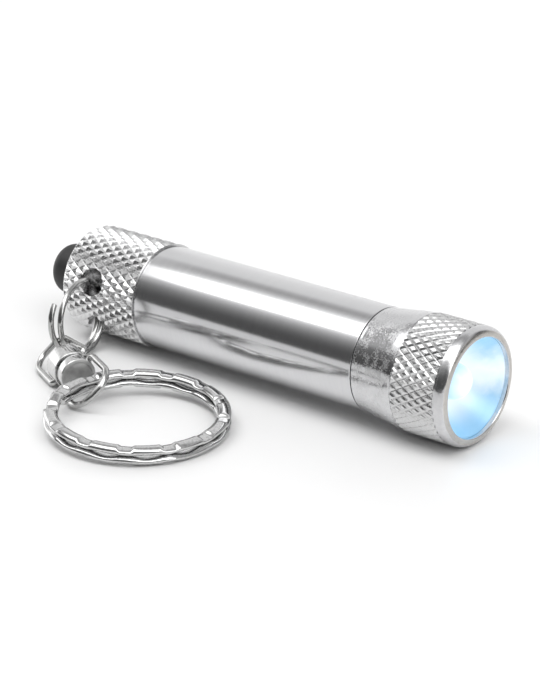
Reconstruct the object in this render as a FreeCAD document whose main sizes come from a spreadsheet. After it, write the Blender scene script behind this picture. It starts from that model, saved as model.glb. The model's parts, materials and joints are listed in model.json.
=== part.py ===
import FreeCAD, Part
import math
import os
import Sketcher

# Keychain flashlight with a tail push button, one AAA cell, a screw-on head
# and a split ring, wire swivel and flat key ring hanging from the tail cap.
# The flashlight is turned about its own axis, which runs along +X from the
# rear edge of the tail cap. It lies on the table, propped up by its wider head.

size = {
    # tail cap
    "capRadius": 7.25,
    "capLength": 12.9,
    "capChamfer": 0.4,
    "buttonBore": 3.55,
    "boreSink": 0.25,
    "webLength": 6.7,
    "cavityRadius": 5.3,
    "spigotStart": 9.0,
    "spigotSeat": 6.3,
    # barrel
    "barrelRadius": 7.0,
    "barrelEnd": 49.5,
    "edgeBreak": 0.1,
    "spigotRadius": 6.28,
    "cellBore": 5.45,
    "fitGap": 0.02,
    "sealRoot": 5.97,
    "sealEnd": 50.5,
    "threadCore": 6.02,
    "threadPitch": 0.75,
    "threadFlat": 0.3,
    "noseStart": 53.3,
    "noseEnd": 53.6,
    # head
    "headGap": 0.15,
    "mouthRadius": 6.8,
    "mouthEnd": 50.6,
    "headBore": 6.35,
    "ledgeStart": 53.7,
    "seatRadius": 6.7,
    "neckEnd": 50.4,
    "flareEnd": 55.35,
    "flareRadius": 7.63,
    "flareArc": 15.0,
    "shoulderEnd": 56.25,
    "shoulderRadius": 7.8,
    "shoulderArc": 2.6,
    "knurlEnd": 63.05,
    "headRadius": 7.85,
    "bezelStart": 63.5,
    "lipStart": 64.5,
    "bezelArc": 1.0,
    "lipOuter": 6.85,
    "lipInner": 6.65,
    "mouthStart": 64.4,
    "openingRadius": 6.55,
    "seatEnd": 63.8,
    # push button and switch
    "buttonRadius": 3.5,
    "domeStart": 4.4,
    "domeTip": 6.4,
    "domeArc": 4.07,
    "flangeStart": 6.72,
    "flangeEnd": 7.32,
    "flangeRadius": 5.0,
    "plungerRadius": 1.6,
    "plungerEnd": 9.3,
    "springStart": 7.36,
    "springEnd": 9.06,
    "springRadius": 2.4,
    "springWire": 0.16,
    "housingStart": 9.1,
    "housingEnd": 10.7,
    "housingWall": 0.4,
    "housingRadius": 5.4,
    "housingHole": 1.75,
    "housingCavity": 4.0,
    "studHole": 1.05,
    "studRadius": 1.0,
    "studHead": 2.6,
    "studHeadStart": 10.12,
    "studHeadEnd": 10.28,
    "padStart": 10.72,
    "padEnd": 10.84,
    "padRadius": 2.4,
    "cellSpringStart": 11.05,
    "cellSpringEnd": 11.8,
    "cellSpringSmall": 2.2,
    "cellSpringLarge": 4.4,
    "cellSpringWire": 0.2,
    # cell
    "cellStart": 12.02,
    "cellEnd": 55.7,
    "cellRadius": 5.24,
    "cellEdge": 0.4,
    "cellWall": 0.3,
    "nubRadius": 1.9,
    "nubEnd": 56.5,
    "sealInner": 1.94,
    "sealOuter": 4.2,
    "cellSealEnd": 55.95,
    "wrapInner": 5.26,
    "wrapOuter": 5.34,
    "wrapStart": 12.5,
    "wrapEnd": 55.2,
    # light module, inside the head
    "groundStart": 53.72,
    "groundEnd": 54.0,
    "groundInner": 5.6,
    "moduleRadius": 6.65,
    "carrierStart": 54.02,
    "carrierBore": 6.25,
    "carrierFloor": 57.45,
    "carrierEnd": 58.1,
    "carrierHole": 2.0,
    "boardStart": 56.76,
    "boardEnd": 57.43,
    "boardRadius": 6.2,
    "contactStart": 56.52,
    "contactRadius": 1.8,
    "chipSide": 1.8,
    "chipHeight": 0.7,
    "chipOffset": 4.4,
    "coilRadius": 1.0,
    "coilHeight": 0.78,
    "leadRadius": 0.25,
    "leadPitch": 1.27,
    "lampStart": 58.12,
    "lampFlange": 58.8,
    "lampFlangeRadius": 2.85,
    "lampRadius": 2.4,
    "lampDome": 60.5,
    "lampTip": 62.9,
    "lampArc": 2.4,
    "reflectorStart": 58.14,
    "reflectorBore": 3.0,
    "reflectorNeck": 59.6,
    "reflectorThroat": 3.15,
    "reflectorBack": 3.8,
    "reflectorBackEnd": 59.3,
    "reflectorRim": 63.2,
    "reflectorRimInner": 6.3,
    "reflectorMouth": 6.42,
    "reflectorEnd": 63.78,
    # rubber seal between barrel and head
    "ringSealPlace": 50.0,
    "ringSealRadius": 6.35,
    "ringSealWire": 0.36,
    # small split ring and its passage through the tail cap
    "smallRingRadius": 5.08,
    "smallRingWire": 0.4,
    "smallRingStep": 0.39,
    "passageRadius": 1.35,
    # swivel
    "bowWire": 0.44,
    "bowHalfWidth": 3.12,
    "bowRoot": 0.5,
    "frontBowRoot": 0.8,
    "frontBowEnd": 7.95,
    "frontBowCorner": 2.6,
    "frontBowPin": 1.5,
    "rearBowRoot": 1.7,
    "rearBowEnd": 9.0,
    "rearBowCorner": 2.2,
    "rearBowPin": 2.32,
    "pinHole": 0.47,
    "collarRadius": 2.65,
    "collarBore": 2.3,
    "collarLength": 3.2,
    "collarFloor": 0.6,
    "collarHole": 1.1,
    "drumRadius": 2.05,
    "drumHead": 2.4,
    "drumHeadStart": 0.12,
    "drumEnd": 1.9,
    "drumBack": 2.5,
    "rivetRadius": 1.05,
    "rivetEnd": 3.4,
    "rivetHead": 1.7,
    "rivetHeadEnd": 3.8,
    # flat split key ring
    "keyRingOuter": 12.0,
    "keyRingInner": 10.1,
    "keyRingTurn": 1.2,
    "keyRingRound": 0.35,
    "keyRingNotch": 0.25,
}

# Where the loose pieces lie, in millimetres, measured from the point on the
# table under the rear edge of the tail cap, before the row's origin is set.
ringCentre = (5.9, -9.9, 5.525)
ringNormal = (0.9819, 0.1788, 0.0622)
swivelFace = (13.25, -19.05, 2.68)
swivelAxis = (0.8933, -0.4494, 0.0052)
swivelWidth = (0.3318, 0.6673, 0.6669)
keyRingCentre = (27.96, -23.02)
keyRingLift = 1.31
keyRingLiftTurn = 165.0

doc = FreeCAD.newDocument("KeychainFlashlight")
sheet = doc.addObject("Spreadsheet::Sheet", "Sizes")
for row, (name, amount) in enumerate(size.items(), 1):
    sheet.set("A%d" % row, name)
    sheet.set("B%d" % row, str(amount))
    sheet.setAlias("B%d" % row, name)
doc.recompute()

pieces = []


def number(words):
    """The value of a sum such as 'capLength - capChamfer + 0.2'."""
    total = 0.0
    sign = 1
    for word in words.split():
        if word in "+-":
            sign = 1 if word == "+" else -1
        else:
            total += sign * (size[word] if word in size else float(word))
    return total


def formula(words):
    """The same sum as an expression on the sheet's cells."""
    return " ".join("Sizes." + word if word in size else word for word in words.split())


def flipped(words):
    """The sum with every sign turned round."""
    swap = {"+": "-", "-": "+"}
    turned = [swap.get(word, word) for word in words.split()]
    return " ".join(turned[1:] if turned[0] == "+" else ["0 -"] + turned)


def originPlane(body, role):
    return [f for f in body.Origin.OriginFeatures if f.Role == role][0]


def newSketch(body, name, role):
    sketch = body.newObject("Sketcher::SketchObject", name)
    sketch.AttachmentSupport = [(originPlane(body, role), "")]
    sketch.MapMode = "FlatFace"
    return sketch


def holdAt(sketch, curve, end, axis, words):
    """Ties one coordinate of a curve's end to a sum of cells."""
    value = number(words)
    if abs(value) < 1e-9:
        sketch.addConstraint(Sketcher.Constraint("PointOnObject", curve, end, -2 if axis == "X" else -1))
        return
    if value > 0:
        place = sketch.addConstraint(Sketcher.Constraint("Distance" + axis, -1, 1, curve, end, value))
        sketch.setExpression("Constraints[%d]" % place, formula(words))
    else:
        place = sketch.addConstraint(Sketcher.Constraint("Distance" + axis, curve, end, -1, 1, -value))
        sketch.setExpression("Constraints[%d]" % place, formula(flipped(words)))


def arcBetween(start, end, radius, bulge):
    """An arc of a circle between two points; bulge +1 swells to the left of the way travelled."""
    way = end - start
    middle = (start + end) * 0.5
    side = FreeCAD.Vector(-way.y, way.x, 0).normalize()
    rise = math.sqrt(max(radius ** 2 - (way.Length / 2) ** 2, 0.0))
    centre = middle - side * (bulge * rise)
    top = centre + side * (bulge * radius)
    return Part.Arc(start, top, end)


def drawOutline(sketch, corners, closed=True):
    """Lines and arcs through corners given as sums of cells.

    A corner is (along, across) or (along, across, radius cell, bulge), where the last
    two make the stretch that leaves the corner an arc.
    """
    points = [FreeCAD.Vector(number(c[0]), number(c[1]), 0) for c in corners]
    count = len(corners) if closed else len(corners) - 1
    ends = []
    for i in range(count):
        start, end = points[i], points[(i + 1) % len(points)]
        if len(corners[i]) == 4:
            radius, bulge = corners[i][2:]
            arc = arcBetween(start, end, size[radius], bulge)
            curve = sketch.addGeometry(arc, False)
            forward = sketch.getPoint(curve, 1).distanceToPoint(start) < 1e-6
            ends.append((1, 2) if forward else (2, 1))
            place = sketch.addConstraint(Sketcher.Constraint("Radius", curve, size[radius]))
            sketch.setExpression("Constraints[%d]" % place, "Sizes." + radius)
        else:
            sketch.addGeometry(Part.LineSegment(start, end), False)
            ends.append((1, 2))
    for i in range(count if closed else count - 1):
        after = (i + 1) % count
        sketch.addConstraint(Sketcher.Constraint("Coincident", i, ends[i][1], after, ends[after][0]))
    for i in range(count):
        holdAt(sketch, i, ends[i][0], "X", corners[i][0])
        holdAt(sketch, i, ends[i][0], "Y", corners[i][1])
    if not closed:
        holdAt(sketch, count - 1, ends[-1][1], "X", corners[-1][0])
        holdAt(sketch, count - 1, ends[-1][1], "Y", corners[-1][1])


def turned(label, corners, keep=True):
    """A body of revolution about its own X axis."""
    body = doc.addObject("PartDesign::Body", "Body_" + label)
    sketch = newSketch(body, "Outline_" + label, "XZ_Plane")
    drawOutline(sketch, corners)
    turn = body.newObject("PartDesign::Revolution", "Turn_" + label)
    turn.Profile = sketch
    turn.ReferenceAxis = (sketch, ["H_Axis"])
    turn.Angle = 360
    body.Tip = turn
    if keep:
        body.Label = label
        pieces.append(body)
    return body


def ringOutline(start, end, inner, outer):
    """A plain washer or tube section."""
    return [(start, inner), (start, outer), (end, outer), (end, inner)]


# --- the turned casing -------------------------------------------------------

def makeTailCap():
    """A thick-walled cap with a curved passage for the split ring through its side."""
    turnedCap = turned("tail_cap_turned", [
        ("0", "buttonBore + boreSink"), ("0", "capRadius - capChamfer"), ("capChamfer", "capRadius"),
        ("capLength", "capRadius"), ("capLength", "spigotSeat"), ("spigotStart", "spigotSeat"),
        ("spigotStart", "cavityRadius"), ("webLength", "cavityRadius"), ("webLength", "buttonBore"),
        ("boreSink", "buttonBore")], keep=False)
    passage = doc.addObject("Part::Torus", "Ring_passage")
    passage.setExpression("Radius1", "Sizes.smallRingRadius")
    passage.setExpression("Radius2", "Sizes.passageRadius")
    cap = doc.addObject("Part::Cut", "Cap_with_passage")
    cap.Base = turnedCap
    cap.Tool = passage
    cap.Label = "tail_cap"
    pieces.append(cap)
    return turnedCap, passage


def makeBarrel():
    """The tube, with a press spigot at the rear and a threaded nose for the head."""
    corners = [
        ("spigotStart + fitGap", "cellBore"), ("spigotStart + fitGap", "spigotRadius"),
        ("capLength + fitGap", "spigotRadius"), ("capLength + fitGap", "barrelRadius - edgeBreak"),
        ("capLength + fitGap + edgeBreak", "barrelRadius"), ("barrelEnd - edgeBreak", "barrelRadius"),
        ("barrelEnd", "barrelRadius - edgeBreak"), ("barrelEnd", "sealRoot"), ("sealEnd", "sealRoot"),
        ("sealEnd", "spigotRadius")]
    # plain thread ridges with flat crests
    ridge = "sealEnd"
    for _ in range(3):
        ridge += " + threadFlat"
        corners.append((ridge, "spigotRadius"))
        corners.append((ridge + " + edgeBreak", "threadCore"))
        ridge += " - threadFlat + threadPitch"
        corners.append((ridge + " - edgeBreak", "threadCore"))
        corners.append((ridge, "spigotRadius"))
    corners += [("noseStart", "spigotRadius"), ("noseEnd", "threadCore"), ("noseEnd", "cellBore")]
    return turned("barrel", corners)


def makeHead():
    """The screw-on head: plain neck, flare, knurled grip and rounded bezel in one turned shell."""
    return turned("head_shell", [
        ("barrelEnd + headGap", "mouthRadius"), ("barrelEnd + headGap", "barrelRadius - edgeBreak"),
        ("barrelEnd + headGap + edgeBreak", "barrelRadius"),
        ("neckEnd", "barrelRadius", "flareArc", -1), ("flareEnd", "flareRadius", "shoulderArc", 1),
        ("shoulderEnd", "shoulderRadius"), ("knurlEnd", "headRadius"),
        ("bezelStart", "headRadius", "bezelArc", 1), ("lipStart", "lipOuter"),
        ("lipStart", "lipInner"), ("mouthStart", "openingRadius"), ("seatEnd", "openingRadius"),
        ("seatEnd", "seatRadius"), ("ledgeStart", "seatRadius"), ("ledgeStart", "headBore"),
        ("mouthEnd", "headBore"), ("mouthEnd", "mouthRadius")])


# --- button and switch -------------------------------------------------------

def makeButton():
    """The tall domed rubber button, held in by its flange."""
    return turned("push_button", [
        ("0 - domeTip", "0", "domeArc", 1), ("0 - domeStart", "buttonRadius"),
        ("flangeStart", "buttonRadius"), ("flangeStart", "flangeRadius"),
        ("flangeEnd", "flangeRadius"), ("flangeEnd", "0")])


def makePlunger():
    return turned("switch_plunger", [
        ("flangeEnd", "0"), ("flangeEnd", "plungerRadius"), ("plungerEnd", "plungerRadius"), ("plungerEnd", "0")])


def makeSwitchHousing():
    return turned("switch_housing", [
        ("housingStart", "housingHole"), ("housingStart", "housingRadius"), ("housingEnd", "housingRadius"),
        ("housingEnd", "studHole"), ("housingEnd - housingWall", "studHole"),
        ("housingEnd - housingWall", "housingCavity"), ("housingStart + housingWall", "housingCavity"),
        ("housingStart + housingWall", "housingHole")])


def makeSwitchContact():
    return turned("switch_contact", [
        ("studHeadStart", "0"), ("studHeadStart", "studHead"), ("studHeadEnd", "studHead"),
        ("studHeadEnd", "studRadius"), ("padStart", "studRadius"), ("padStart", "padRadius"),
        ("padEnd", "padRadius"), ("padEnd", "0")])


def makeCoil(label, start, end, small, large, wire, turns):
    """A coil spring of round wire, wound about Z from its small end to its large end."""
    spring = doc.addObject("Part::Feature", "Coil_" + label)
    length = number(end) - number(start)
    lean = math.degrees(math.atan2(size[large] - size[small], length))
    helix = Part.makeHelix(length / turns, length, size[small], lean)
    ring = Part.Circle(FreeCAD.Vector(size[small], 0, 0), FreeCAD.Vector(0, 1, 0), size[wire])
    section = Part.Wire([ring.toShape()])
    spring.Shape = Part.Wire(helix.Edges).makePipeShell([section], True, True)
    spring.Label = label
    pieces.append(spring)
    return spring


# --- the cell ----------------------------------------------------------------

def makeCell():
    turned("cell_can", [
        ("cellStart", "0"), ("cellStart", "cellRadius - cellEdge"), ("cellStart + cellEdge", "cellRadius"),
        ("cellEnd - cellEdge", "cellRadius"), ("cellEnd", "cellRadius - cellEdge"), ("cellEnd", "0"),
        ("cellEnd - cellWall", "0"), ("cellEnd - cellWall", "cellRadius - cellWall - cellEdge"),
        ("cellEnd - cellWall - cellEdge", "cellRadius - cellWall"),
        ("cellStart + cellWall + cellEdge", "cellRadius - cellWall"),
        ("cellStart + cellWall", "cellRadius - cellWall - cellEdge"), ("cellStart + cellWall", "0")])
    turned("cell_filling", [
        ("cellStart + cellWall + fitGap", "0"),
        ("cellStart + cellWall + fitGap", "cellRadius - cellWall - cellEdge - fitGap"),
        ("cellStart + cellWall + cellEdge + fitGap", "cellRadius - cellWall - fitGap"),
        ("cellEnd - cellWall - cellEdge - fitGap", "cellRadius - cellWall - fitGap"),
        ("cellEnd - cellWall - fitGap", "cellRadius - cellWall - cellEdge - fitGap"),
        ("cellEnd - cellWall - fitGap", "0")])
    turned("cell_wrap", ringOutline("wrapStart", "wrapEnd", "wrapInner", "wrapOuter"))
    turned("cell_seal", ringOutline("cellEnd + fitGap", "cellSealEnd", "sealInner", "sealOuter"))
    turned("cell_positive_nub", [
        ("cellEnd", "0"), ("cellEnd", "nubRadius"), ("nubEnd", "nubRadius"), ("nubEnd", "0")])


# --- the light module --------------------------------------------------------

def makeModule():
    turned("ground_ring", ringOutline("groundStart", "groundEnd", "groundInner", "moduleRadius"))
    turned("board_carrier", [
        ("carrierStart", "carrierBore"), ("carrierStart", "moduleRadius"), ("carrierEnd", "moduleRadius"),
        ("carrierEnd", "carrierHole"), ("carrierFloor", "carrierHole"), ("carrierFloor", "carrierBore")])
    turned("driver_board", [
        ("boardStart", "0"), ("boardStart", "boardRadius"), ("boardEnd", "boardRadius"), ("boardEnd", "0")])
    turned("positive_contact", [
        ("contactStart", "0"), ("contactStart", "contactRadius"),
        ("boardStart", "contactRadius"), ("boardStart", "0")])
    turned("led_lamp", [
        ("lampStart", "0"), ("lampStart", "lampFlangeRadius"), ("lampFlange", "lampFlangeRadius"),
        ("lampFlange", "lampRadius"), ("lampDome", "lampRadius", "lampArc", 1), ("lampTip", "0")])
    turned("reflector", [
        ("reflectorStart", "reflectorBore"), ("reflectorStart", "reflectorBack"),
        ("reflectorBackEnd", "reflectorBack"), ("reflectorRim", "reflectorRimInner + 0.3"),
        ("reflectorRim", "moduleRadius"), ("reflectorEnd", "moduleRadius"), ("reflectorEnd", "reflectorMouth"),
        ("reflectorNeck", "reflectorThroat"), ("reflectorNeck - 0.15", "reflectorBore")])


def makeChips():
    """The two parts soldered to the board's rear face: a driver chip and a small coil."""
    chip = doc.addObject("Part::Box", "Driver_chip")
    for side, cell in (("Length", "chipHeight"), ("Width", "chipSide"), ("Height", "chipSide")):
        chip.setExpression(side, "Sizes." + cell)
    chip.Label = "driver_chip"
    coil = doc.addObject("Part::Cylinder", "Driver_coil")
    coil.setExpression("Radius", "Sizes.coilRadius")
    coil.setExpression("Height", "Sizes.coilHeight")
    coil.Label = "driver_coil"
    pieces.extend([chip, coil])
    return chip, coil


def makeLeads():
    """Two lamp leads as one node of two separate wires."""
    leads = doc.addObject("Part::Compound", "Lamp_leads")
    links = []
    for side in (-1, 1):
        lead = doc.addObject("Part::Cylinder", "Lead")
        lead.setExpression("Radius", "Sizes.leadRadius")
        lead.setExpression("Height", "Sizes.lampStart - Sizes.boardEnd")
        lead.Placement = FreeCAD.Placement(
            FreeCAD.Vector(size["boardEnd"], side * size["leadPitch"], 0),
            FreeCAD.Rotation(FreeCAD.Vector(0, 1, 0), 90))
        links.append(lead)
    leads.Links = links
    leads.Label = "lamp_leads"
    pieces.append(leads)
    return leads


def makeSealRing():
    seal = doc.addObject("Part::Torus", "Seal_ring")
    seal.setExpression("Radius1", "Sizes.ringSealRadius")
    seal.setExpression("Radius2", "Sizes.ringSealWire")
    seal.Label = "head_o_ring"
    pieces.append(seal)
    return seal


# --- the hanging chain -------------------------------------------------------

def makeSmallRing():
    """Two turns of round spring wire lying side by side."""
    turns = []
    for side in (-1, 1):
        turn = doc.addObject("Part::Torus", "Ring_turn")
        turn.setExpression("Radius1", "Sizes.smallRingRadius")
        turn.setExpression("Radius2", "Sizes.smallRingWire")
        turn.Placement.Base = FreeCAD.Vector(0, 0, side * size["smallRingStep"])
        turns.append(turn)
    ring = doc.addObject("Part::MultiFuse", "Small_split_ring")
    ring.Shapes = turns
    ring.Label = "small_split_ring"
    pieces.append(ring)
    return ring


def makeBow(label, root, end, corner, pin):
    """A U-shaped wire bow in its own XY plane, its ends bent inwards as pins.

    Half of it is swept along lines and arcs, then mirrored about the XZ plane.
    """
    body = doc.addObject("PartDesign::Body", "Body_" + label)
    path = newSketch(body, "Path_" + label, "XY_Plane")
    drawOutline(path, [
        (end, "0"), (end, "bowHalfWidth - " + corner, corner, -1),
        (end + " - " + corner, "bowHalfWidth"), (root + " + bowRoot", "bowHalfWidth", "bowRoot", -1),
        (root, "bowHalfWidth - bowRoot"), (root, pin)], closed=False)
    section = newSketch(body, "Wire_" + label, "XZ_Plane")
    section.addGeometry(Part.Circle(FreeCAD.Vector(size[end], 0, 0), FreeCAD.Vector(0, 0, 1), size["bowWire"]))
    holdAt(section, 0, 3, "X", end)
    holdAt(section, 0, 3, "Y", "0")
    place = section.addConstraint(Sketcher.Constraint("Radius", 0, size["bowWire"]))
    section.setExpression("Constraints[%d]" % place, "Sizes.bowWire")
    doc.recompute()
    half = body.newObject("PartDesign::AdditivePipe", "Half_" + label)
    half.Profile = section
    half.Spine = (path, ["Edge%d" % (i + 1) for i in range(5)])
    half.Transition = 0
    doc.recompute()
    both = body.newObject("PartDesign::Mirrored", "Both_" + label)
    both.Originals = [half]
    both.MirrorPlane = (originPlane(body, "XZ_Plane"), [""])
    body.Tip = both
    body.Label = label
    pieces.append(body)
    return body


def withCrossHole(label, solid, along):
    """Cuts a hole for the bow's pins straight through a turned piece."""
    drill = doc.addObject("Part::Cylinder", "Drill_" + label)
    drill.setExpression("Radius", "Sizes.pinHole")
    drill.setExpression("Height", "4 * Sizes.bowHalfWidth")
    holed = doc.addObject("Part::Cut", "Holed_" + label)
    holed.Base = solid
    holed.Tool = drill
    holed.Label = label
    pieces.append(holed)
    return [(solid, 0), (drill, number(along))]


def makeSwivelBarrel():
    """The collar and, turning inside it, the drum that is riveted through its floor."""
    collar = turned("collar_turned", [
        ("0 - collarLength", "collarHole"), ("0 - collarLength", "collarRadius - edgeBreak"),
        ("0 - collarLength + edgeBreak", "collarRadius"), ("0 - edgeBreak", "collarRadius"),
        ("0", "collarRadius - edgeBreak"), ("0", "collarBore"),
        ("0 - collarLength + collarFloor", "collarBore"), ("0 - collarLength + collarFloor", "collarHole")],
        keep=False)
    drum = turned("drum_turned", [
        ("0 - rivetHeadEnd", "0"), ("0 - rivetHeadEnd", "rivetHead - edgeBreak"),
        ("0 - rivetHeadEnd + edgeBreak", "rivetHead"), ("0 - rivetEnd", "rivetHead"),
        ("0 - rivetEnd", "rivetRadius"), ("0 - drumBack", "rivetRadius"), ("0 - drumBack", "drumRadius"),
        ("drumHeadStart", "drumRadius"), ("drumHeadStart", "drumHead"),
        ("drumEnd - edgeBreak", "drumHead"), ("drumEnd", "drumHead - edgeBreak"), ("drumEnd", "0")],
        keep=False)
    collarParts = withCrossHole("swivel_collar", collar, "0 - rearBowRoot")
    drumParts = withCrossHole("swivel_drum", drum, "frontBowRoot")
    return collarParts + drumParts


def makeKeyRing():
    """Two flat turns of the split key ring, pressed together, with a seam between them."""
    body = doc.addObject("PartDesign::Body", "Body_key_ring")
    sketch = newSketch(body, "Outline_key_ring", "XZ_Plane")
    drawOutline(sketch, [
        ("keyRingInner + keyRingRound", "0"), ("keyRingOuter - keyRingRound", "0"),
        ("keyRingOuter", "keyRingRound"), ("keyRingOuter", "keyRingTurn - keyRingNotch"),
        ("keyRingOuter - keyRingNotch", "keyRingTurn"), ("keyRingOuter", "keyRingTurn + keyRingNotch"),
        ("keyRingOuter", "keyRingTurn + keyRingTurn - keyRingRound"),
        ("keyRingOuter - keyRingRound", "keyRingTurn + keyRingTurn"),
        ("keyRingInner + keyRingRound", "keyRingTurn + keyRingTurn"),
        ("keyRingInner", "keyRingTurn + keyRingTurn - keyRingRound"),
        ("keyRingInner", "keyRingTurn + keyRingNotch"), ("keyRingInner + keyRingNotch", "keyRingTurn"),
        ("keyRingInner", "keyRingTurn - keyRingNotch"), ("keyRingInner", "keyRingRound")])
    turn = body.newObject("PartDesign::Revolution", "Turn_key_ring")
    turn.Profile = sketch
    turn.ReferenceAxis = (sketch, ["V_Axis"])
    turn.Angle = 360
    body.Tip = turn
    body.Label = "key_ring"
    pieces.append(body)
    return body


# --- placing -----------------------------------------------------------------

def frameOf(origin, along, across):
    """A placement whose X axis is along and whose XY plane holds across."""
    along = FreeCAD.Vector(*along).normalize()
    across = FreeCAD.Vector(*across)
    across = (across - along * along.dot(across)).normalize()
    up = along.cross(across)
    turn = FreeCAD.Rotation(along, across, up, "XYZ")
    return FreeCAD.Placement(FreeCAD.Vector(*origin), turn)


turnedCap, passage = makeTailCap()
makeBarrel()
makeHead()
makeButton()
makePlunger()
makeSwitchHousing()
makeSwitchContact()
makeCell()
makeModule()
chip, coil = makeChips()
leads = makeLeads()
seal = makeSealRing()
returnSpring = makeCoil("return_spring", "springStart + springWire", "springEnd - springWire",
                        "springRadius", "springRadius", "springWire", 3)
cellSpring = makeCoil("cell_spring", "cellSpringStart", "cellSpringEnd",
                      "cellSpringSmall", "cellSpringLarge", "cellSpringWire", 2)
lightPieces = [turnedCap] + [p for p in pieces if p.Label != "tail_cap"]

smallRing = makeSmallRing()
rearBow = makeBow("rear_bow", "rearBowRoot", "rearBowEnd", "rearBowCorner", "rearBowPin")
frontBow = makeBow("front_bow", "frontBowRoot", "frontBowEnd", "frontBowCorner", "frontBowPin")
swivelParts = makeSwivelBarrel()
keyRing = makeKeyRing()

# The flashlight rests on its rear edge and on the head's shoulder, so its axis rises to the front.
restLength = size["shoulderEnd"] - size["capChamfer"]
lean = math.atan2(size["shoulderRadius"] - size["capRadius"], restLength)
axisHeight = size["capRadius"] * math.cos(lean) - size["capChamfer"] * math.sin(lean)
lightPlace = FreeCAD.Placement(
    FreeCAD.Vector(0, 0, axisHeight), FreeCAD.Rotation(FreeCAD.Vector(0, 1, 0), -math.degrees(lean)))

aboutX = FreeCAD.Rotation(FreeCAD.Vector(0, 1, 0), 90)
chipPlace = FreeCAD.Placement(
    FreeCAD.Vector(size["boardStart"] - size["chipHeight"], -size["chipSide"] / 2,
                   size["chipOffset"] - size["chipSide"] / 2), FreeCAD.Rotation())
coilPlace = FreeCAD.Placement(
    FreeCAD.Vector(size["boardStart"] - size["coilHeight"], 0, -size["chipOffset"]), aboutX)
sealPlace = FreeCAD.Placement(FreeCAD.Vector(size["ringSealPlace"], 0, 0), aboutX)
returnSpringPlace = FreeCAD.Placement(
    FreeCAD.Vector(size["springStart"] + size["springWire"], 0, 0), aboutX)
cellSpringPlace = FreeCAD.Placement(FreeCAD.Vector(size["cellSpringStart"], 0, 0), aboutX)

ringPlace = frameOf(ringCentre, ringNormal, (0, 1, 0)).multiply(FreeCAD.Placement(FreeCAD.Vector(), aboutX))
swivelPlace = frameOf(swivelFace, swivelAxis, swivelWidth)
halfTurn = FreeCAD.Placement(FreeCAD.Vector(), FreeCAD.Rotation(FreeCAD.Vector(0, 0, 1), 180))

# The key ring lies on the table at its far side and is lifted where it passes over the bow.
liftTurn = math.radians(keyRingLiftTurn)
ringSpan = 2 * size["keyRingOuter"]
keyRingTilt = math.degrees(math.asin(keyRingLift / ringSpan))
tiltAxis = FreeCAD.Vector(math.sin(liftTurn), -math.cos(liftTurn), 0)
keyRingPlace = FreeCAD.Placement(
    FreeCAD.Vector(keyRingCentre[0], keyRingCentre[1], keyRingLift / 2),
    FreeCAD.Rotation(tiltAxis, keyRingTilt))

ownPlace = {
    chip.Name: chipPlace, coil.Name: coilPlace, seal.Name: sealPlace,
    returnSpring.Name: returnSpringPlace, cellSpring.Name: cellSpringPlace}
places = {}
for piece in lightPieces:
    places[piece.Name] = lightPlace.multiply(ownPlace.get(piece.Name, FreeCAD.Placement()))
places[passage.Name] = ringPlace
places[smallRing.Name] = ringPlace
places[rearBow.Name] = swivelPlace.multiply(halfTurn)
places[frontBow.Name] = swivelPlace
for piece, along in swivelParts:
    # a drill starts as a cylinder along Z and is laid along the bow's width
    laid = FreeCAD.Rotation()
    if piece.TypeId == "Part::Cylinder":
        laid = FreeCAD.Rotation(FreeCAD.Vector(1, 0, 0), 90)
    half = FreeCAD.Vector(along, 2 * size["bowHalfWidth"] if along else 0, 0)
    places[piece.Name] = swivelPlace.multiply(FreeCAD.Placement(half, laid))
places[keyRing.Name] = keyRingPlace


def placeAll(shift):
    """Sets every piece down, moved by shift so that the row's origin is where it should be."""
    for name, place in places.items():
        doc.getObject(name).Placement = FreeCAD.Placement(place.Base + shift, place.Rotation)
    doc.recompute()


placeAll(FreeCAD.Vector())
whole = FreeCAD.BoundBox()
for piece in pieces:
    whole.add(piece.Shape.optimalBoundingBox())
# the origin is the middle of the bottom of the whole object's box
rowShift = FreeCAD.Vector(-whole.Center.x, -whole.Center.y, -whole.ZMin)
placeAll(rowShift)
print("row shift", [round(v, 4) for v in rowShift])
print("axis height", round(axisHeight, 4), "lean", round(math.degrees(lean), 4))

os.makedirs("parts", exist_ok=True)
for item in doc.Objects:
    if "Invalid" in item.State or "Error" in item.State:
        raise RuntimeError("failed: " + item.Label)
for piece in pieces:
    if piece.Shape.isNull() or not piece.Shape.isValid():
        raise RuntimeError("bad shape: " + piece.Label)
for piece in pieces:
    piece.Shape.exportStep("parts/%s.step" % piece.Label)
    print(piece.Label, len(piece.Shape.Solids), round(piece.Shape.Volume, 3))
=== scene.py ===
import json
import math

import bmesh
import bpy
from mathutils import Matrix, Vector


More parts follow.
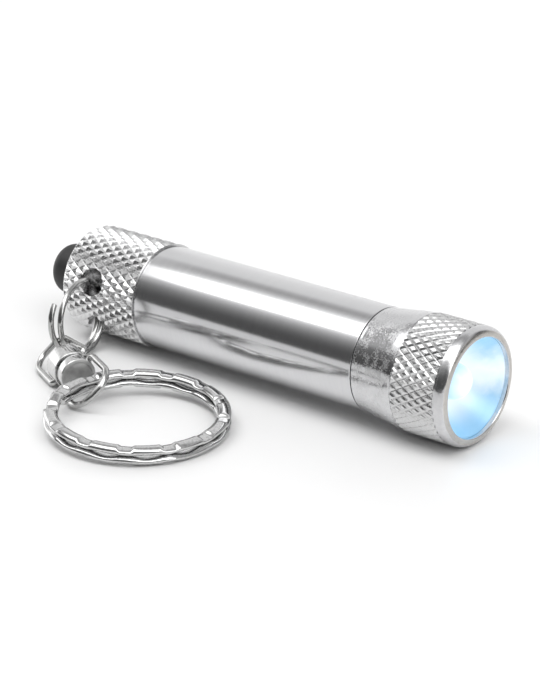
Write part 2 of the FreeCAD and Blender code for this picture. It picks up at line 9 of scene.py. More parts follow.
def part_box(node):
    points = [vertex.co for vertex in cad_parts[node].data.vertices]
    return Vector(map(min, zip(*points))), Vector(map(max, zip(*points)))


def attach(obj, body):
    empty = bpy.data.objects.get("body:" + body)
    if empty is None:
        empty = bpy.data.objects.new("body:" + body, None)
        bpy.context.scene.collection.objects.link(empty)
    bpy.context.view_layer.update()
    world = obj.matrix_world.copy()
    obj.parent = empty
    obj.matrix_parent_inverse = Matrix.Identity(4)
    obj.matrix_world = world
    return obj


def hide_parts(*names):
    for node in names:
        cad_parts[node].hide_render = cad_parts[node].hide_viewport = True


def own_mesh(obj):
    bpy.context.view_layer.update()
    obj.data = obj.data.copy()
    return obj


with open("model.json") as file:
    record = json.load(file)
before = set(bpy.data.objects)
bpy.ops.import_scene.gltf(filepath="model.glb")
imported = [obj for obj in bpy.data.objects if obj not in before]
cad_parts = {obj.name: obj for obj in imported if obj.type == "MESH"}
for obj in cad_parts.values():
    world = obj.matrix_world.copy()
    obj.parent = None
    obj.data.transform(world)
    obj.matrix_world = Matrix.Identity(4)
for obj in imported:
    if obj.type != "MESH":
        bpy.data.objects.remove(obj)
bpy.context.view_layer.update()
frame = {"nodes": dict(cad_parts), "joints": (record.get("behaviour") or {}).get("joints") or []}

mm = 0.001
tiny = 1e-6    # millimetres: closer than this counts as touching
joints = {joint["name"]: joint for joint in frame["joints"]}
print("frame loaded:", len(frame["nodes"]), "nodes")


# places, all read from the frame

def placeOf(origin, along, across):
    # a frame whose X runs along the piece and whose Y leans towards across
    along = Vector(along).normalized()
    across = Vector(across)
    across = (across - along * along.dot(across)).normalized()
    up = along.cross(across)
    place = Matrix((along, across, up)).transposed().to_4x4()
    place.translation = Vector(origin)
    return place


def middleOf(node):
    low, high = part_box(node)
    return (Vector(low) + Vector(high)) / 2


headPivot = 57 * mm    # the head's joint stands this far from the rear edge of the tail cap
lightAxis = Vector(joints["button_press"]["axis"]).normalized()
lightPlace = placeOf(Vector(joints["head_turn"]["pos_m"]) - lightAxis * headPivot, lightAxis, (0, 1, 0))

swivelPlace = placeOf(joints["swivel_spin"]["pos_m"], joints["swivel_spin"]["axis"],
                      joints["key_ring_swing"]["axis"])

ringMiddle = middleOf("small_split_ring")
ringApex = Vector(joints["ring_swing"]["pos_m"])
ringNormal = (ringApex - ringMiddle).cross(Vector(joints["ring_swing"]["axis"]))
smallRingPlace = placeOf(ringMiddle, ringNormal, ringApex - ringMiddle)


# materials

def hexColour(code):
    # an sRGB hex value as a linear colour
    parts = [int(code[i:i + 2], 16) / 255 for i in (1, 3, 5)]
    return tuple(p / 12.92 if p <= 0.04045 else ((p + 0.055) / 1.055) ** 2.4 for p in parts) + (1.0,)


def grey(value):
    return (value, value, value, 1.0)


def addNode(tree, kind, settings=None, **inputs):
    # one node, its settings, and its inputs as values or as sockets to link from
    node = tree.nodes.new(kind)
    for name, value in (settings or {}).items():
        setattr(node, name, value)
    for name, value in inputs.items():
        socket = node.inputs[int(name[1:])] if name[0] == "_" else node.inputs[name.replace("_", " ")]
        if isinstance(value, bpy.types.NodeSocket):
            tree.links.new(value, socket)
        else:
            socket.default_value = value
    return node


def newMaterial(name):
    material = bpy.data.materials.new(name)
    material.use_nodes = True
    return material, material.node_tree


def shaderOf(tree):
    return tree.nodes["Principled BSDF"]


def rampOf(tree, factor, stops):
    ramp = addNode(tree, "ShaderNodeValToRGB", _0=factor)
    ramp.color_ramp.elements.remove(ramp.color_ramp.elements[1])
    for i, (place, colour) in enumerate(stops):
        element = ramp.color_ramp.elements[0] if i == 0 else ramp.color_ramp.elements.new(place)
        element.position = place
        element.color = colour
    return ramp


def noiseOf(tree, vector, scale, detail=2.0, rough=0.5):
    return addNode(tree, "ShaderNodeTexNoise", Vector=vector, Scale=scale, Detail=detail, Roughness=rough)


def finished(material, metallic, tint, gloss, bump):
    # colour, gloss and relief go to the shader's own sockets
    tree = material.node_tree
    shader = shaderOf(tree)
    shader.inputs["Metallic"].default_value = metallic
    tree.links.new(tint.outputs[0], shader.inputs["Base Color"])
    tree.links.new(gloss.outputs[0], shader.inputs["Roughness"])
    tree.links.new(bump.outputs[0], shader.inputs["Normal"])
    return material


def distanceFromAxis(tree, place):
    flat = addNode(tree, "ShaderNodeVectorMath", {"operation": "MULTIPLY"}, _0=place, _1=(0, 1, 1))
    return addNode(tree, "ShaderNodeVectorMath", {"operation": "LENGTH"}, _0=flat.outputs[0]).outputs[1]


def roundTheAxis(tree, alongScale, aroundScale):
    # coordinates that run along a turned piece and round it, for marks left by the lathe
    place = addNode(tree, "ShaderNodeTexCoord").outputs["Object"]
    split = addNode(tree, "ShaderNodeSeparateXYZ", Vector=place)
    angle = addNode(tree, "ShaderNodeMath", {"operation": "ARCTAN2"},
                    _0=split.outputs[2], _1=split.outputs[1])
    waveY = addNode(tree, "ShaderNodeMath", {"operation": "SINE"}, _0=angle.outputs[0])
    waveZ = addNode(tree, "ShaderNodeMath", {"operation": "COSINE"}, _0=angle.outputs[0])
    along = addNode(tree, "ShaderNodeMath", {"operation": "MULTIPLY"}, _0=split.outputs[0], _1=alongScale)
    sideY = addNode(tree, "ShaderNodeMath", {"operation": "MULTIPLY"}, _0=waveY.outputs[0], _1=aroundScale)
    sideZ = addNode(tree, "ShaderNodeMath", {"operation": "MULTIPLY"}, _0=waveZ.outputs[0], _1=aroundScale)
    return addNode(tree, "ShaderNodeCombineXYZ", X=along.outputs[0], Y=sideY.outputs[0],
                   Z=sideZ.outputs[0]).outputs[0]


def brushedAluminium():
    # aluminium tube, brushed while it turned: fine lines round it blur reflections along it, not across
    # the real lines are about 0.05 mm apart; they are drawn coarser so that they show
    look = {"lineSpacing": 0.16 * mm, "lineDepth": 0.0011 * mm}
    material, tree = newMaterial("brushedAluminium")
    lines = noiseOf(tree, roundTheAxis(tree, 1 / look["lineSpacing"], 1.3), 1.0, 3.0, 0.6)
    tint = rampOf(tree, lines.outputs[0], [(0.3, hexColour("#cfcfd1")), (0.7, hexColour("#d5d5d6"))])
    gloss = rampOf(tree, lines.outputs[0], [(0.3, grey(0.13)), (0.7, grey(0.16))])
    bump = addNode(tree, "ShaderNodeBump", Height=lines.outputs[0], Distance=look["lineDepth"])
    return finished(material, 1.0, tint, gloss, bump)


def polishedAluminium():
    # turned and polished aluminium head: near mirror, with tool rings, handling specks and dulled patches
    look = {"speckSize": 0.16 * mm, "patchSize": 1.4 * mm, "speckDepth": 0.016 * mm, "ringSpacing": 0.3 * mm}
    material, tree = newMaterial("polishedAluminium")
    place = addNode(tree, "ShaderNodeTexCoord").outputs["Object"]
    specks = noiseOf(tree, place, 1 / look["speckSize"], 4.0, 0.65)
    patches = noiseOf(tree, place, 1 / look["patchSize"], 2.0, 0.5)
    both = addNode(tree, "ShaderNodeMath", {"operation": "MULTIPLY"},
                   _0=specks.outputs[0], _1=patches.outputs[0])
    patchy = addNode(tree, "ShaderNodeMath", {"operation": "MULTIPLY_ADD"},
                     _0=patches.outputs[0], _1=0.8, _2=specks.outputs[0])
    gloss = rampOf(tree, patchy.outputs[0], [(0.9, grey(0.07)), (1.06, grey(0.4))])
    tint = rampOf(tree, specks.outputs[0], [(0.35, hexColour("#cacacc")), (0.62, hexColour("#d6d6d7"))])
    rings = noiseOf(tree, roundTheAxis(tree, 1 / look["ringSpacing"], 0.5), 1.0, 2.0, 0.5)
    height = addNode(tree, "ShaderNodeMath", {"operation": "MULTIPLY_ADD"},
                     _0=rings.outputs[0], _1=0.3, _2=both.outputs[0])
    bump = addNode(tree, "ShaderNodeBump", Height=height.outputs[0], Distance=look["speckDepth"])
    return finished(material, 1.0, tint, gloss, bump)


def knurledAluminium():
    # rolled diamond knurl: bright pressed flanks with a fine grain that softens what they reflect
    look = {"grainSize": 0.12 * mm, "grainDepth": 0.004 * mm}
    material, tree = newMaterial("knurledAluminium")
    place = addNode(tree, "ShaderNodeTexCoord").outputs["Object"]
    grain = noiseOf(tree, place, 1 / look["grainSize"], 3.0, 0.6)
    tint = rampOf(tree, grain.outputs[0], [(0.3, hexColour("#c9c9ca")), (0.65, hexColour("#dadada"))])
    gloss = rampOf(tree, grain.outputs[0], [(0.3, grey(0.2)), (0.7, grey(0.3))])
    bump = addNode(tree, "ShaderNodeBump", Height=grain.outputs[0], Distance=look["grainDepth"])
    return finished(material, 1.0, tint, gloss, bump)


def nickelPlate(name, dark, light, roughest):
    # bright nickel plate over steel wire: mirror-like, slightly uneven, with a few dull spots
    look = {"spotSize": 0.3 * mm, "markDepth": 0.005 * mm}
    material, tree = newMaterial(name)
    place = addNode(tree, "ShaderNodeTexCoord").outputs["Object"]
    spots = noiseOf(tree, place, 1 / look["spotSize"], 4.0, 0.6)
    tint = rampOf(tree, spots.outputs[0], [(0.35, hexColour(dark)), (0.6, hexColour(light))])
    gloss = rampOf(tree, spots.outputs[0], [(0.4, grey(0.06)), (0.7, grey(roughest))])
    bump = addNode(tree, "ShaderNodeBump", Height=spots.outputs[0], Distance=look["markDepth"])
    return finished(material, 1.0, tint, gloss, bump)


def mouldedRubber():
    # black silicone rubber: dark and matte, with the fine texture of a spark-eroded mould
    look = {"grainSize": 0.18 * mm, "grainDepth": 0.012 * mm}
    material, tree = newMaterial("mouldedRubber")
    place = addNode(tree, "ShaderNodeTexCoord").outputs["Object"]
    grain = noiseOf(tree, place, 1 / look["grainSize"], 3.0, 0.6)
    tint = rampOf(tree, grain.outputs[0], [(0.3, hexColour("#161616")), (0.7, hexColour("#262627"))])
    gloss = rampOf(tree, grain.outputs[0], [(0.3, grey(0.42)), (0.7, grey(0.6))])
    bump = addNode(tree, "ShaderNodeBump", Height=grain.outputs[0], Distance=look["grainDepth"])
    return finished(material, 0.0, tint, gloss, bump)


def plainMaterial(name, dark, light, metallic, smooth, rough, grainSize):
    # a plain finish: two close shades, a changing gloss and a faint relief, all from one fine grain
    material, tree = newMaterial(name)
    place = addNode(tree, "ShaderNodeTexCoord").outputs["Object"]
    grain = noiseOf(tree, place, 1 / grainSize, 3.0, 0.6)
    tint = rampOf(tree, grain.outputs[0], [(0.3, hexColour(dark)), (0.7, hexColour(light))])
    gloss = rampOf(tree, grain.outputs[0], [(0.3, grey(smooth)), (0.7, grey(rough))])
    bump = addNode(tree, "ShaderNodeBump", Height=grain.outputs[0], Distance=0.02 * grainSize)
    return finished(material, metallic, tint, gloss, bump)


def metallisedConePaintedGlow():
    # vacuum-metallised plastic cone with painted light: its emission paints the lamp's light reflected in it,
    # painted white near the throat and at the sides, pale blue above and below, with soft painted clouds in
    # the glow
    look = {"glowCloudSize": 1.6 * mm, "glowStart": 2.9 * mm, "glowEnd": 6.0 * mm}
    material, tree = newMaterial("metallisedConePaintedGlow")
    place = addNode(tree, "ShaderNodeTexCoord").outputs["Object"]
    split = addNode(tree, "ShaderNodeSeparateXYZ", Vector=place)
    angle = addNode(tree, "ShaderNodeMath", {"operation": "ARCTAN2"},
                    _0=split.outputs[2], _1=split.outputs[1])
    height = addNode(tree, "ShaderNodeMath", {"operation": "SINE"}, _0=angle.outputs[0])
    paintedGlowClouds = noiseOf(tree, place, 1 / look["glowCloudSize"], 2.0, 0.5)
    soft = addNode(tree, "ShaderNodeMath", {"operation": "MULTIPLY_ADD"},
                   _0=paintedGlowClouds.outputs[0], _1=0.5, _2=height.outputs[0])
    share = addNode(tree, "ShaderNodeMapRange", _0=soft.outputs[0], _1=-0.7, _2=1.3)
    colours = rampOf(tree, share.outputs[0], [
        (0.0, hexColour("#86bde3")), (0.2, hexColour("#9ccbeb")), (0.36, hexColour("#e2f2fd")),
        (0.5, hexColour("#f2faff")), (0.62, hexColour("#dceefa")), (0.8, hexColour("#9dcceb")),
        (1.0, hexColour("#85bde2"))])
    shader = shaderOf(tree)
    shader.inputs["Metallic"].default_value = 1.0
    shader.inputs["Base Color"].default_value = hexColour("#6d7c8b")
    shader.inputs["Roughness"].default_value = 0.4
    # painted glow: the cone is no lamp, and this emission stands in for the lamp's light reflected in it
    shader.inputs["Emission Strength"].default_value = 0.95
    glow = addNode(tree, "ShaderNodeMapRange", {"interpolation_type": "SMOOTHSTEP"},
                   _0=distanceFromAxis(tree, place), _1=look["glowStart"], _2=look["glowEnd"])
    lit = addNode(tree, "ShaderNodeMix", {"data_type": "RGBA"},
                  _0=glow.outputs[0], _6=hexColour("#eff8fe"), _7=colours.outputs[0])
    tree.links.new(lit.outputs[2], shader.inputs["Emission Color"])
    return material


def clearEpoxyLamp():
    # clear epoxy lamp, switched on: a white core with a cold blue edge
    look = {"radius": 2.4 * mm}
    material, tree = newMaterial("clearEpoxyLamp")
    place = addNode(tree, "ShaderNodeTexCoord").outputs["Object"]
    share = addNode(tree, "ShaderNodeMath", {"operation": "DIVIDE"},
                    _0=distanceFromAxis(tree, place), _1=look["radius"])
    colours = rampOf(tree, share.outputs[0], [
        (0.0, hexColour("#fbfdff")), (0.55, hexColour("#f2f9fe")), (0.8, hexColour("#d5e9f8")),
        (1.0, hexColour("#a9d0ec"))])
    shader = shaderOf(tree)
    shader.inputs["Base Color"].default_value = hexColour("#8597a6")
    shader.inputs["Roughness"].default_value = 0.08
    shader.inputs["IOR"].default_value = 1.5
    shader.inputs["Emission Strength"].default_value = 0.9
    tree.links.new(colours.outputs[0], shader.inputs["Emission Color"])
    return material


# the plain finishes are: name, darker shade, lighter shade, metallic, least and most roughness, grain size
finishes = {
    "barrel": brushedAluminium(),
    "head": polishedAluminium(),
    "knurl": knurledAluminium(),
    "wire": nickelPlate("nickelPlatedWire", "#a8a8a8", "#bcbcbb", 0.2),
    "ring": nickelPlate("nickelPlatedRing", "#bcbcbc", "#cecece", 0.14),
    "rubber": mouldedRubber(),
    "reflector": metallisedConePaintedGlow(),
    "lamp": clearEpoxyLamp(),
    "bezel": plainMaterial("polishedBezel", "#c6c6c8", "#d2d2d3", 1.0, 0.1, 0.17, 0.5 * mm),
    "lip": plainMaterial("facedAluminium", "#bcb9b5", "#c8c5c1", 1.0, 0.26, 0.32, 1.0 * mm),
    "face": plainMaterial("pressedSteel", "#b4b4b4", "#cbcbca", 1.0, 0.36, 0.5, 0.8 * mm),
    # inside the casing: drawn spring steel, moulded nylon, stamped brass, packed powder and the rest
    "steel": plainMaterial("springSteel", "#8f8f90", "#b4b4b6", 1.0, 0.25, 0.4, 0.4 * mm),
    "plastic": plainMaterial("mouldedNylon", "#141414", "#242425", 0.0, 0.4, 0.55, 0.3 * mm),
    "brass": plainMaterial("stampedBrass", "#b08d4c", "#cfae6a", 1.0, 0.22, 0.38, 0.4 * mm),
    "paste": plainMaterial("packedPowder", "#242220", "#38342f", 0.0, 0.75, 0.95, 0.3 * mm),
    "label": plainMaterial("shrinkWrap", "#1d3f73", "#2b5696", 0.0, 0.2, 0.32, 0.8 * mm),
    "seal": plainMaterial("cellGrommet", "#c9c8bf", "#dedcd3", 0.0, 0.4, 0.5, 0.4 * mm),
    "board": plainMaterial("solderMask", "#0c3d1c", "#14592b", 0.0, 0.25, 0.4, 0.5 * mm),
}
print("materials made:", len(finishes))


# mesh helpers

def roundedLine(corners, closed=False, stepDegrees=12):
    # corners are (point, bend radius); each bend becomes an arc that meets both runs smoothly
    line = []
    last = len(corners) - 1
    for i, (point, radius) in enumerate(corners):
        if radius == 0 or (not closed and i in (0, last)):
            line.append(point.copy())
            continue
        before = corners[i - 1][0]
        after = corners[(i + 1) % len(corners)][0]
        inWay = (point - before).normalized()
        outWay = (after - point).normalized()
        turn = inWay.angle(outWay)
        if turn < 0.001:
            line.append(point.copy())
            continue
        reach = radius * math.tan(turn / 2)
        side = (outWay - inWay * inWay.dot(outWay)).normalized()
        centre = point - inWay * reach + side * radius
        parts = max(2, math.ceil(math.degrees(turn) / stepDegrees))
        for k in range(parts + 1):
            angle = turn * k / parts
            line.append(centre - side * radius * math.cos(angle) + inWay * radius * math.sin(angle))
    return line


def outlineOf(corners, closed=True):
    # lathe outlines are written as (along, radius, rounding) in millimetres
    points = [(Vector((c[0], c[1], 0)), c[2] if len(c) > 2 else 0) for c in corners]
    return [(p.x, p.y) for p in roundedLine(points, closed)]


def outwardMesh(name, points, faces):
    mesh = bpy.data.meshes.new(name)
    mesh.from_pydata(points, [], faces)
    tidy = bmesh.new()
    tidy.from_mesh(mesh)
    bmesh.ops.recalc_face_normals(tidy, faces=tidy.faces)
    tidy.to_mesh(mesh)
    tidy.free()
    return mesh


def makePiece(name, points, faces, place, body, finish, creaseDegrees=30, replacing=()):
    mesh = outwardMesh(name, points, faces)
    for face in mesh.polygons:
        face.use_smooth = True
    mesh.set_sharp_from_angle(angle=math.radians(creaseDegrees))
    piece = bpy.data.objects.new(name, mesh)
    bpy.context.scene.collection.objects.link(piece)
    piece.matrix_world = place
    mesh.materials.append(finish)
    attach(piece, body)
    if replacing:
        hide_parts(*replacing)
    return piece


def turnedMesh(rows, columns, closed=True, knurl=None):
    # rows are (along, radius) in millimetres, turned about X; knurl cuts rows that it covers
    points = []
    starts = []
    for along, radius in rows:
        starts.append(len(points))
        if radius < tiny:
            points.append((along * mm, 0.0, 0.0))
            continue
        for j in range(columns):
            angle = 2 * math.pi * j / columns
            here = radius
            if knurl and radius > knurl["floor"] and knurl["start"] - tiny <= along <= knurl["end"] + tiny:
                here = min(radius, knurl["radius"] - knurlCut(knurl, along, angle))
            points.append((along * mm, here * mm * math.cos(angle), here * mm * math.sin(angle)))
    faces = []
    count = len(rows)
    for i in range(count if closed else count - 1):
        nextRow = (i + 1) % count
        a, b = starts[i], starts[nextRow]
        poleA, poleB = rows[i][1] < tiny, rows[nextRow][1] < tiny
        if poleA and poleB:
            continue
        middle = (rows[i][0] + rows[nextRow][0]) / 2
        lowest = min(rows[i][1], rows[nextRow][1])
        cut = knurl and knurl["start"] <= middle <= knurl["end"] and lowest > knurl["floor"]
        for j in range(columns):
            k = (j + 1) % columns
            if poleA:
                faces.append((a, b + k, b + j))
            elif poleB:
                faces.append((a + j, a + k, b))
            elif cut and leansBack(knurl, middle, 2 * math.pi * (j + 0.5) / columns):
                faces.append((a + j, a + k, b + j))
                faces.append((a + k, b + k, b + j))
            elif cut:
                faces.append((a + j, a + k, b + k))
                faces.append((a + j, b + k, b + j))
            else:
                faces.append((a + j, a + k, b + k, b + j))
    return points, faces


def grooveDistances(knurl, along, angle):
    # how far a point is from the nearest groove of each hand, from 0 to 0.5 of the pitch
    u = (along - knurl["start"]) / knurl["length"]
    v = angle * knurl["count"] / (2 * math.pi)
    return abs(u + v - round(u + v)), abs(u - v - round(u - v))


def knurlCut(knurl, along, angle):
    near = min(grooveDistances(knurl, along, angle)) / 0.5
    height = (near - knurl["grooveFlat"]) / (1 - knurl["grooveFlat"] - knurl["topFlat"])
    return knurl["depth"] * (1 - min(max(height, 0.0), 1.0))


def leansBack(knurl, along, angle):
    first, second = grooveDistances(knurl, along, angle)
    return first < second


def withKnurlRows(rows, knurl):
    # cuts the long runs inside the knurled band into rows that fall on the grooves' lattice
    spacing = knurl["length"] / knurl["rowsEach"]
    result = []
    for i, row in enumerate(rows):
        result.append(row)
        after = rows[(i + 1) % len(rows)]
        if min(row[1], after[1]) <= knurl["floor"]:
            continue
        low, high = sorted((row[0], after[0]))
        markCount = int((knurl["end"] - knurl["start"]) / spacing) + 2
        marks = [knurl["start"] + k * spacing for k in range(markCount)]
        inside = [m for m in marks if low + 0.02 < m < high - 0.02 and m < knurl["end"] + 0.001]
        if after[0] < row[0]:
            inside.reverse()
        for mark in inside:
            share = (mark - row[0]) / (after[0] - row[0])
            result.append((mark, row[1] + (after[1] - row[1]) * share))
    return result


def wireMesh(path, radius, sides=20, endRound=0.25):
    # round wire along a line of points, its cut ends slightly rounded
    count = len(path)
    ways = []
    for i in range(count):
        ways.append((path[min(i + 1, count - 1)] - path[max(i - 1, 0)]).normalized())
    across = ways[0].orthogonal().normalized()
    rings = []
    for i, (point, way) in enumerate(zip(path, ways)):
        across = (across - way * way.dot(across)).normalized()
        rings.append((point, across.copy(), way.cross(across), radius))
    first, last = rings[0], rings[-1]
    inset = radius * endRound
    rings[0] = (first[0] + ways[0] * inset, first[1], first[2], radius)
    rings[-1] = (last[0] - ways[-1] * inset, last[1], last[2], radius)
    rings.insert(0, (first[0], first[1], first[2], radius - inset))
    rings.append((last[0], last[1], last[2], radius - inset))
    points, faces = [], []
    for centre, side, up, size in rings:
        for j in range(sides):
            angle = 2 * math.pi * j / sides
            points.append(tuple(centre + side * size * math.cos(angle) + up * size * math.sin(angle)))
    for i in range(len(rings) - 1):
        for j in range(sides):
            k = (j + 1) % sides
            faces.append((i * sides + j, i * sides + k, (i + 1) * sides + k, (i + 1) * sides + j))
    faces.append(tuple(reversed(range(sides))))
    faces.append(tuple(range((len(rings) - 1) * sides, len(rings) * sides)))
    return points, faces


def smoothStep(value):
    value = min(max(value, 0.0), 1.0)
    return value * value * (3 - 2 * value)


# tail cap: coarse rolled knurl, with the split ring's curved passage cut through it

tailCap = {
    "radius": 7.25, "length": 12.9, "creaseDegrees": 24, "chamfer": 0.4, "bore": 3.55, "boreSink": 0.25,
    "web": 6.7, "cavity": 5.3, "spigotStart": 9.0, "spigotSeat": 6.3,
    "passage": 1.2, "passageBend": 5.08, "dish": 0.8, "dishDegrees": 16,
}
capKnurl = {
    "start": 0.0, "end": 12.82, "radius": 7.25, "depth": 0.33, "floor": 6.7, "count": 36,
    "length": 2.15, "rowsEach": 12, "grooveFlat": 0.05, "topFlat": 0.12,
}
capRows = outlineOf([
    (0, tailCap["bore"] + tailCap["boreSink"]), (0, tailCap["radius"] - tailCap["chamfer"], 0.08),
    (tailCap["chamfer"], tailCap["radius"], 0.1), (tailCap["length"], tailCap["radius"], 0.06),
    (tailCap["length"], tailCap["spigotSeat"]), (tailCap["spigotStart"], tailCap["spigotSeat"]),
    (tailCap["spigotStart"], tailCap["cavity"]), (tailCap["web"], tailCap["cavity"]),
    (tailCap["web"], tailCap["bore"]), (tailCap["boreSink"], tailCap["bore"])])
capRows = withKnurlRows(capRows, capKnurl)
points, faces = turnedMesh(capRows, capKnurl["count"] * 12, True, capKnurl)
capPiece = makePiece("tail_cap_knurled", points, faces, lightPlace, "light_body",
                     finishes["knurl"], tailCap["creaseDegrees"], ["tail_cap"])


def mouthAngles(bend):
    # where the ring's circle comes out through the surface of the cap
    toLight = lightPlace.inverted() @ smallRingPlace
    depths = []
    for degrees in range(361):
        turn = math.radians(degrees)
        point = toLight @ Vector((0, bend * math.cos(turn), bend * math.sin(turn)))
        depths.append(math.hypot(point.y, point.z) - tailCap["radius"] * mm)
    return [degrees for degrees in range(360) if depths[degrees] * depths[degrees + 1] < 0]


def boredRing(bend, around=180, sides=48):
    # a ring-shaped cutter for the passage, wider where it meets the surface so that the mouths are dished
    points, faces = [], []
    mouths = mouthAngles(bend)
    print("passage mouths at", mouths)
    for i in range(around):
        turn = 2 * math.pi * i / around
        tube = tailCap["passage"]
        for mouth in mouths:
            off = (math.degrees(turn) - mouth + 180) % 360 - 180
            tube += tailCap["dish"] * math.exp(-(off / tailCap["dishDegrees"]) ** 2)
        tube *= mm
        for j in range(sides):
            angle = 2 * math.pi * j / sides
            reach = bend + tube * math.cos(angle)
            points.append((tube * math.sin(angle), reach * math.cos(turn), reach * math.sin(turn)))
    for i in range(around):
        for j in range(sides):
            a, b = i * sides, (i + 1) % around * sides
            k = (j + 1) % sides
            faces.append((a + j, a + k, b + k, b + j))
    return points, faces


def cutPassage(piece):
    points, faces = boredRing(tailCap["passageBend"] * mm)
    cutter = bpy.data.objects.new("passageCutter", outwardMesh("passageCutter", points, faces))
    bpy.context.scene.collection.objects.link(cutter)
    cutter.matrix_world = smallRingPlace
    bore = piece.modifiers.new("passage", "BOOLEAN")
    bore.operation = "DIFFERENCE"
    bore.object = cutter
    bore.solver = "EXACT"
    bpy.context.view_layer.update()
    graph = bpy.context.evaluated_depsgraph_get()
    cutMesh = bpy.data.meshes.new_from_object(piece.evaluated_get(graph))
    print("cap faces before and after the passage:", len(piece.data.polygons), len(cutMesh.polygons))
    piece.modifiers.clear()
    piece.data = cutMesh
    cutMesh.set_sharp_from_angle(angle=math.radians(tailCap["creaseDegrees"]))
    bpy.data.objects.remove(cutter)


cutPassage(capPiece)
print("tail cap made:", len(capPiece.data.polygons), "faces")


# barrel: plain tube with slightly broken edges

barrel = {
    "start": 12.92, "end": 49.5, "radius": 7.0, "bore": 5.45, "spigot": 6.28, "spigotStart": 9.02,
    "sealRoot": 5.97, "sealEnd": 50.5, "threadCore": 6.02, "threadPitch": 0.75, "threadTurns": 3,
    "threadLead": 0.3, "noseEnd": 53.6, "noseChamfer": 0.25,
}


def barrelCorners():
    size = barrel
    corners = [
        (size["spigotStart"], size["bore"]), (size["spigotStart"], size["spigot"]),
        (size["start"], size["spigot"]),
        (size["start"], size["radius"], 0.12), (size["end"], size["radius"], 0.12),
        (size["end"], size["sealRoot"]), (size["sealEnd"], size["sealRoot"]),
        (size["sealEnd"], size["spigot"])]
    for k in range(size["threadTurns"]):
        ridge = size["sealEnd"] + size["threadLead"] + k * size["threadPitch"]
        corners += [(ridge, size["spigot"]), (ridge + 0.12, size["threadCore"]),
                    (ridge + 0.33, size["threadCore"]), (ridge + 0.45, size["spigot"])]
    return corners + [
        (size["noseEnd"] - size["noseChamfer"], size["spigot"]), (size["noseEnd"], size["threadCore"]),
        (size["noseEnd"], size["bore"])]


points, faces = turnedMesh(outlineOf(barrelCorners()), 256)
makePiece("barrel_tube", points, faces, lightPlace, "light_body", finishes["barrel"], 30,
          ["barrel"])


# head: polished neck and flare, finer knurl, small groove, rounded bezel

headSize = {
    "start": 49.65, "neck": 50.05, "flare": 55.25, "shoulder": 56.24, "grooveStart": 56.27, "knurlEnd": 63.0,
    "tip": 64.5, "neckRadius": 7.0, "flareRadius": 7.7, "shoulderRadius": 7.8, "radius": 7.85,
    "bezelRadius": 7.82, "bezelRound": 1.08, "lipRadius": 6.62, "lipRound": 0.12, "lipFall": 0.12,
    "opening": 6.55, "seat": 6.7, "seatEnd": 63.8, "ledge": 53.7, "bore": 6.35, "groove": 0.13,
    "skirt": 6.8, "skirtEnd": 50.6,
}
headKnurl = {
    "start": 56.42, "end": 62.9, "radius": 7.85, "depth": 0.17, "floor": 7.2, "outside": 7.5, "count": 44,
    "length": 1.9, "rowsEach": 10, "grooveFlat": 0.1, "topFlat": 0.34,
}
headRows = outlineOf([
    (headSize["start"], headSize["skirt"]), (headSize["start"], headSize["neckRadius"] - 0.02, 0.08),
    (headSize["neck"], headSize["neckRadius"], 3.0), (headSize["flare"], headSize["flareRadius"], 0.5),
    (headSize["shoulder"], headSize["shoulderRadius"] - 0.03, 0.1),
    (headSize["grooveStart"], headSize["shoulderRadius"] - headSize["groove"]),
    (headKnurl["start"], headSize["shoulderRadius"] - headSize["groove"]),
    (headKnurl["start"] + 0.01, headSize["radius"] - 0.02),
    (headKnurl["end"] - 0.01, headSize["radius"]),
    (headKnurl["end"], headSize["radius"] - headSize["groove"]),
    (headSize["knurlEnd"] + 0.12, headSize["radius"] - headSize["groove"]),
    (headSize["knurlEnd"] + 0.16, headSize["radius"] - 0.01, 0.05),
    (headSize["tip"], headSize["bezelRadius"], headSize["bezelRound"]),
    (headSize["tip"], headSize["lipRadius"], headSize["lipRound"]),
    (headSize["tip"] - headSize["lipFall"], headSize["opening"], 0.05),
    (headSize["seatEnd"], headSize["opening"]), (headSize["seatEnd"], headSize["seat"]),
    (headSize["ledge"], headSize["seat"]), (headSize["ledge"], headSize["bore"]),
    (headSize["skirtEnd"], headSize["bore"]), (headSize["skirtEnd"], headSize["skirt"])])
headRows = withKnurlRows(headRows, headKnurl)
points, faces = turnedMesh(headRows, headKnurl["count"] * 10, True, headKnurl)
headPiece = makePiece("head_knurled", points, faces, lightPlace, "head",
                      finishes["head"], 24, ["head_shell"])
for finish in ("knurl", "lip", "bezel"):
    headPiece.data.materials.append(finishes[finish])
for face in headPiece.data.polygons:
    along = face.center.x / mm
    reach = math.hypot(face.center.y, face.center.z) / mm
    if headKnurl["start"] < along < headKnurl["end"] and reach > headKnurl["outside"]:
        face.material_index = 1
    if face.normal.x > 0.88 and along > headSize["tip"] - 0.5:    # 0.88: within 28 degrees of straight ahead
        face.material_index = 2
    elif along > headSize["knurlEnd"]:
        face.material_index = 3
print("barrel and head made")


# push button: tall domed rubber with a moulded flange

button = {
    "radius": 3.55, "tip": -6.4, "shoulder": -4.0, "roundness": 2.6, "stemStart": 0.1,
    "flange": 5.0, "flangeStart": 6.72, "flangeEnd": 7.32,
}


def buttonRows():
    rows = []
    steps = 14
    depth = button["shoulder"] - button["tip"]
    for k in range(steps + 1):
        turn = math.pi / 2 * k / steps
        power = 2 / button["roundness"]
        rows.append((button["shoulder"] - depth * math.cos(turn) ** power,
                     button["radius"] * math.sin(turn) ** power))
    rows[0] = (button["tip"], 0.0)
    return rows + [
        (button["stemStart"], button["radius"]), (button["flangeStart"], button["radius"]),
        (button["flangeStart"], button["flange"]), (button["flangeEnd"], button["flange"]),
        (button["flangeEnd"], 0.0)]


points, faces = turnedMesh(buttonRows(), 128, False)
makePiece("button_dome", points, faces, lightPlace, "button", finishes["rubber"], 35,
          ["push_button"])


# reflector and lamp

